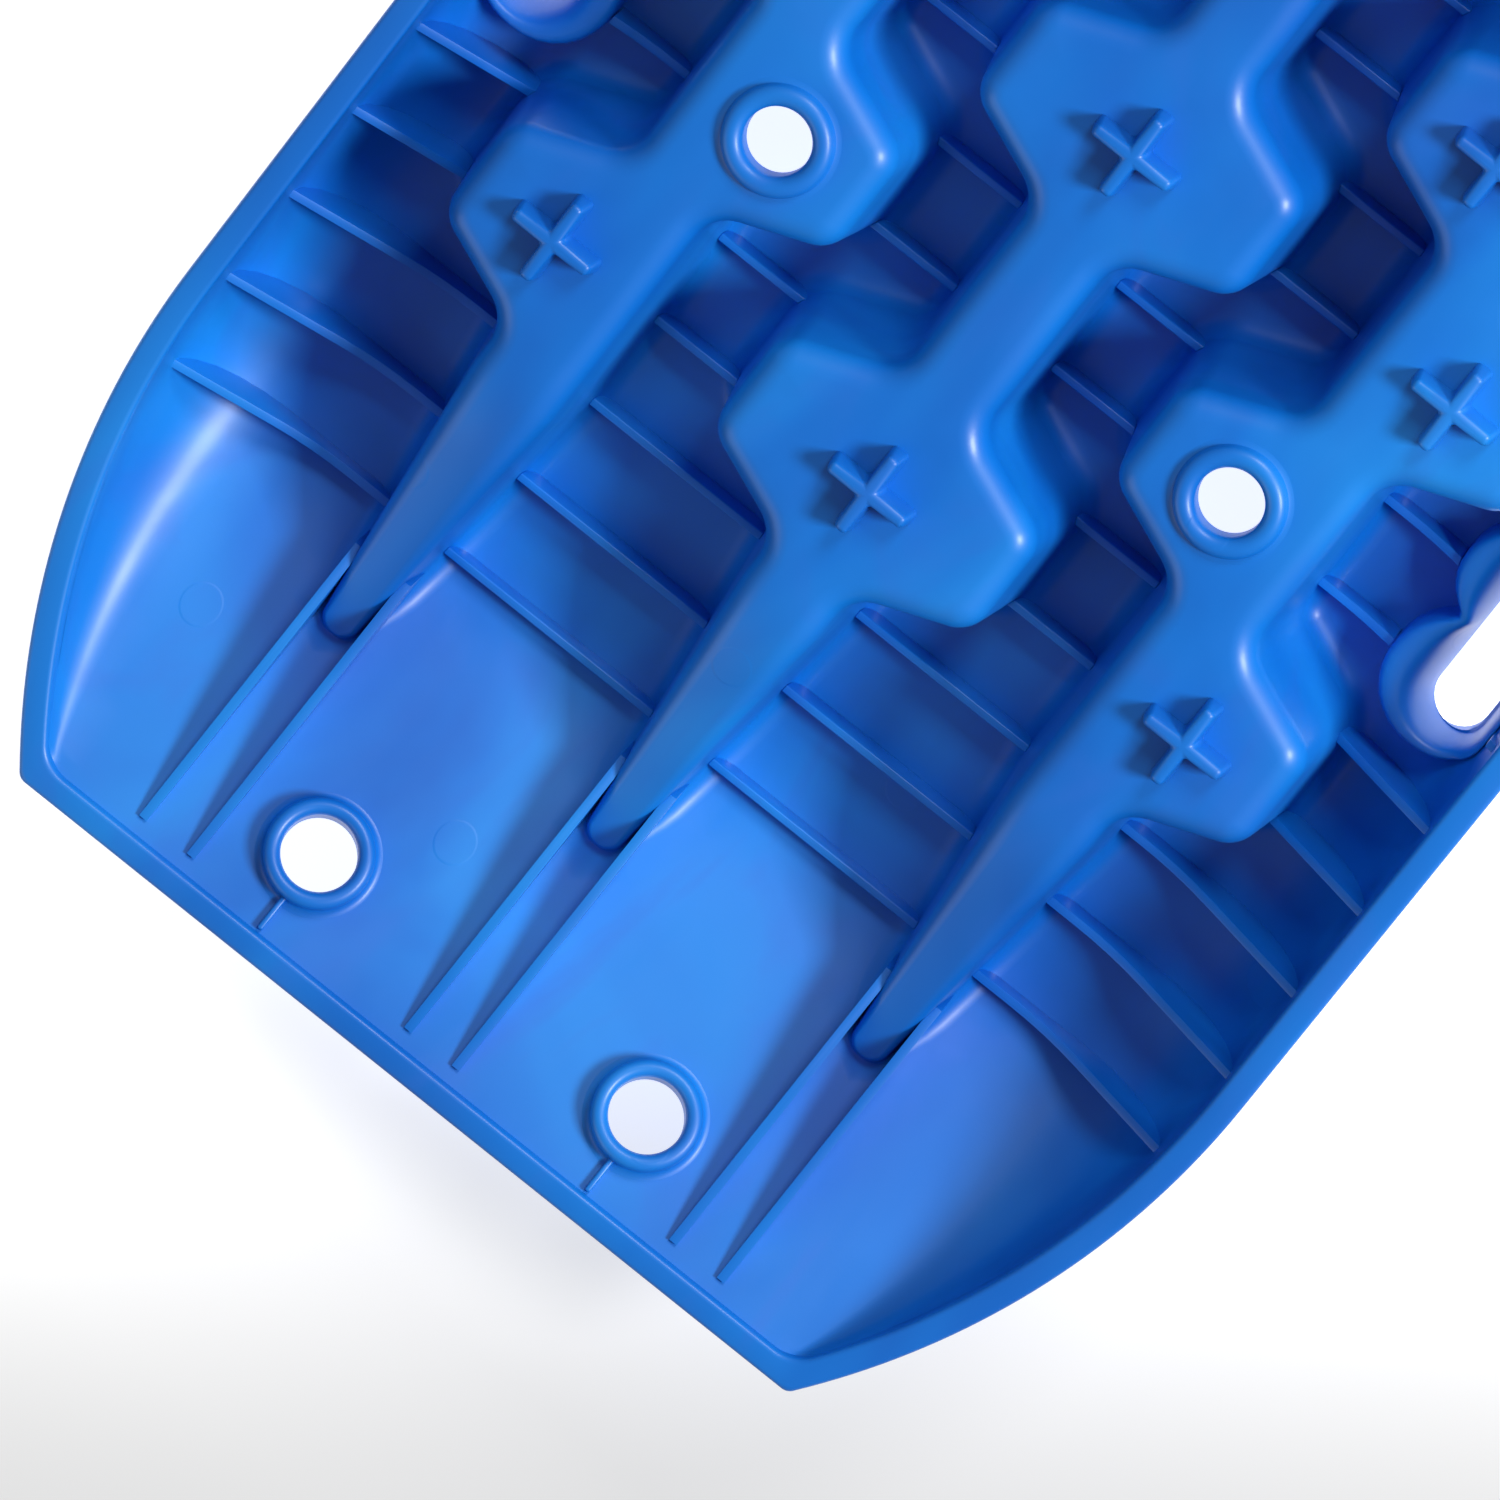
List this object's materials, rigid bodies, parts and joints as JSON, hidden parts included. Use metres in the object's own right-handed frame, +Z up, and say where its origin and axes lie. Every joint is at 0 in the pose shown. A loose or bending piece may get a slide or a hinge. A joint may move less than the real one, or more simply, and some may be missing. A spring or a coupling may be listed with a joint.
{
  "type": "vehicle recovery board",
  "caption": "Long ribbed board for a stuck wheel, hollow side up: zigzag rows with cross cleats, ramped ends, pin bosses, eyelets and scalloped hand slots.",
  "frame": {"origin": "middle of the board's box, on the plane that the tyre-side studs stand on", "axes": "+X along the board towards its far end, +Y across the board to its left side, +Z up, out of the hollow ground side"},
  "size_m": [1.066, 0.306, 0.065],
  "materials": {
    "blue_nylon": "satin moulded"
  },
  "bodies": {
    "root": {"centre_row": "blue_nylon", "centre_row_cleats": "blue_nylon", "far_left_eyelet": "blue_nylon", "far_left_grip": "blue_nylon", "far_left_pin_boss": "blue_nylon", "far_left_slot_surround": "blue_nylon", "far_ramp": "blue_nylon", "far_right_eyelet": "blue_nylon", "far_right_grip": "blue_nylon", "far_right_pin_boss": "blue_nylon", "far_right_slot_surround": "blue_nylon", "far_rim": "blue_nylon", "far_tip_fins": "blue_nylon", "left_inner_channel": "blue_nylon", "left_inner_ribs": "blue_nylon", "left_inner_studs": "blue_nylon", "left_rim": "blue_nylon", "left_row": "blue_nylon", "left_row_cleats": "blue_nylon", "left_side_channel": "blue_nylon", "left_side_ribs": "blue_nylon", "left_side_studs": "blue_nylon", "near_left_eyelet": "blue_nylon", "near_left_grip": "blue_nylon", "near_left_pin_boss": "blue_nylon", "near_left_slot_surround": "blue_nylon", "near_ramp": "blue_nylon", "near_right_eyelet": "blue_nylon", "near_right_grip": "blue_nylon", "near_right_pin_boss": "blue_nylon", "near_right_slot_surround": "blue_nylon", "near_rim": "blue_nylon", "near_tip_fins": "blue_nylon", "right_inner_channel": "blue_nylon", "right_inner_ribs": "blue_nylon", "right_inner_studs": "blue_nylon", "right_rim": "blue_nylon", "right_row": "blue_nylon", "right_row_cleats": "blue_nylon", "right_side_channel": "blue_nylon", "right_side_ribs": "blue_nylon", "right_side_studs": "blue_nylon"}
  },
  "joints": []
}
